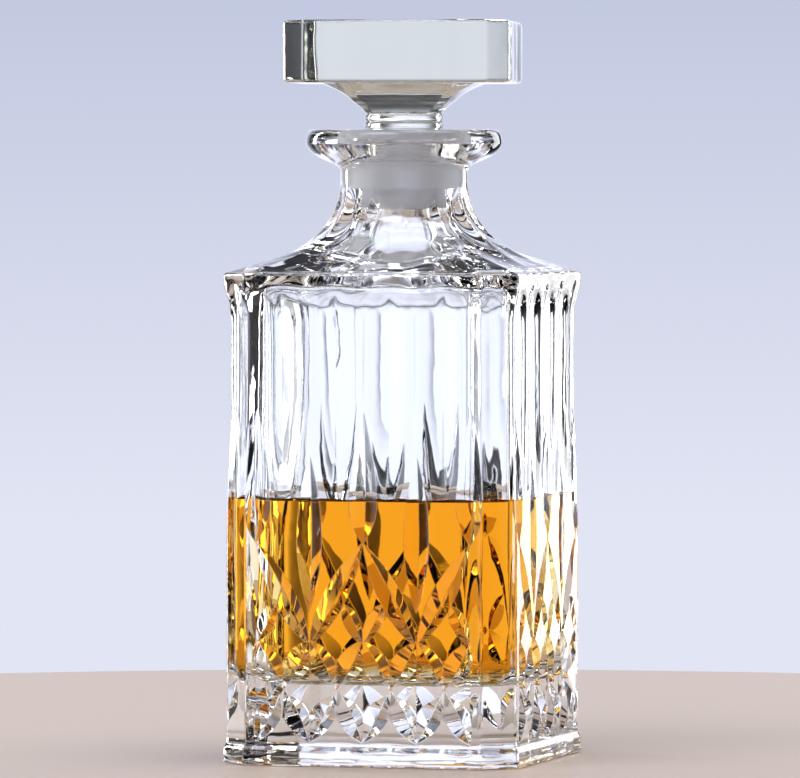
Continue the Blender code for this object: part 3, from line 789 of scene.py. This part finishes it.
# ---------------------------------------------------------------------------------------------
# Seal sleeve: moulded low-density polyethylene, pushed over the shank. Its soft wall lies pressed
# flat on the bore and its flange rests on the mouth. The plastic is milky and lets light into itself.
# ---------------------------------------------------------------------------------------------
SLEEVE_SIDES = 144


def turned_ring_mesh(name, profile):
    """Closed skin turned about the axis from a closed outline of (radius, height)."""
    mesh = bpy.data.meshes.new(name)
    skin = bmesh.new()
    rows = []
    for side in range(SLEEVE_SIDES):
        angle = 2 * math.pi * side / SLEEVE_SIDES
        rows.append([skin.verts.new((r * math.cos(angle), r * math.sin(angle), z)) for r, z in profile])
    for side in range(SLEEVE_SIDES):
        first, second = rows[side], rows[(side + 1) % SLEEVE_SIDES]
        for i in range(len(profile)):
            j = (i + 1) % len(profile)
            skin.faces.new((first[i], first[j], second[j], second[i]))
    bmesh.ops.recalc_face_normals(skin, faces=skin.faces)
    skin.to_mesh(mesh)
    skin.free()
    return mesh


flange_top = sleeve_high[2]
flange_bottom = flange_top - flange_thickness
flange_radius = sleeve_high[0]
sleeve_tip = sleeve_low[2]
round_off = 0.8 * MM
sleeve_profile = [(sleeve_top_radius - sleeve_wall, flange_top)]
sleeve_profile += [(flange_radius - round_off, flange_top)]
sleeve_profile += curve(((flange_radius - round_off, flange_top), (flange_radius, flange_top),
                         (flange_radius, flange_top), (flange_radius, flange_top - round_off)), 4)
sleeve_profile += [(flange_radius, flange_bottom + round_off)]
sleeve_profile += curve(((flange_radius, flange_bottom + round_off), (flange_radius, flange_bottom),
                         (flange_radius, flange_bottom), (flange_radius - round_off, flange_bottom)), 4)
sleeve_profile += [(sleeve_top_radius + 0.3 * MM, flange_bottom)]
SLEEVE_ROWS = 60
PRESSED_TO = 16.5 * MM          # how far below the flange the soft wall is pressed flat on the bore
PRESSED_IN = 0.04 * MM
for row in range(1, SLEEVE_ROWS):
    along = row / SLEEVE_ROWS
    z = flange_bottom + (sleeve_tip + round_off - flange_bottom) * along
    free = smooth_step((flange_bottom - z - PRESSED_TO + 2 * MM) / (4 * MM))
    bore = bore_top - bore_taper * (seat_height - z)
    relaxed = sleeve_top_radius + (sleeve_tip_radius - sleeve_top_radius) * along
    sleeve_profile.append(((bore + PRESSED_IN) * (1 - free) + relaxed * free, z))
sleeve_profile += [(sleeve_tip_radius, sleeve_tip + round_off), (sleeve_tip_radius - 0.4 * MM, sleeve_tip),
                   (sleeve_tip_radius - sleeve_wall, sleeve_tip)]
sleeve_mesh = turned_ring_mesh("sleeve", sleeve_profile)
sleeve_mesh.shade_smooth()
sleeve_mesh.set_sharp_from_angle(angle=math.radians(40))
sleeve = bpy.data.objects.new("polyethylene_sleeve", sleeve_mesh)
bpy.context.scene.collection.objects.link(sleeve)
plastic, tree, out = blank("milky_polyethylene")
where = add(tree, "ShaderNodeTexCoord")
grain = add(tree, "ShaderNodeTexNoise", {"Vector": where.outputs["Object"], "Scale": 1 / (0.8 * MM),
                                         "Detail": 3.0})
cloud = add(tree, "ShaderNodeTexNoise", {"Vector": where.outputs["Object"], "Scale": 1 / (12 * MM)})
milk = add(tree, "ShaderNodeMix", {0: cloud.outputs[0], 6: linear("faf8f5"), 7: linear("fefdfb")},
           data_type="RGBA")
relief = add(tree, "ShaderNodeBump", {"Height": grain.outputs[0], "Strength": 0.15, "Distance": 0.05 * MM})
gloss = add(tree, "ShaderNodeMapRange", {"Value": grain.outputs[0], "To Min": 0.32, "To Max": 0.46})
shader = add(tree, "ShaderNodeBsdfPrincipled", {
    "Base Color": milk.outputs[2], "Roughness": gloss.outputs[0], "IOR": 1.51,
    "Subsurface Weight": 0.2, "Subsurface Radius": (1.0, 0.9, 0.8), "Subsurface Scale": 0.5 * MM,
    "Normal": relief.outputs[0]})
tree.links.new(shader.outputs[0], out.inputs["Surface"])
sleeve_mesh.materials.append(plastic)
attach(sleeve, "seal")
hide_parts("seal_sleeve")
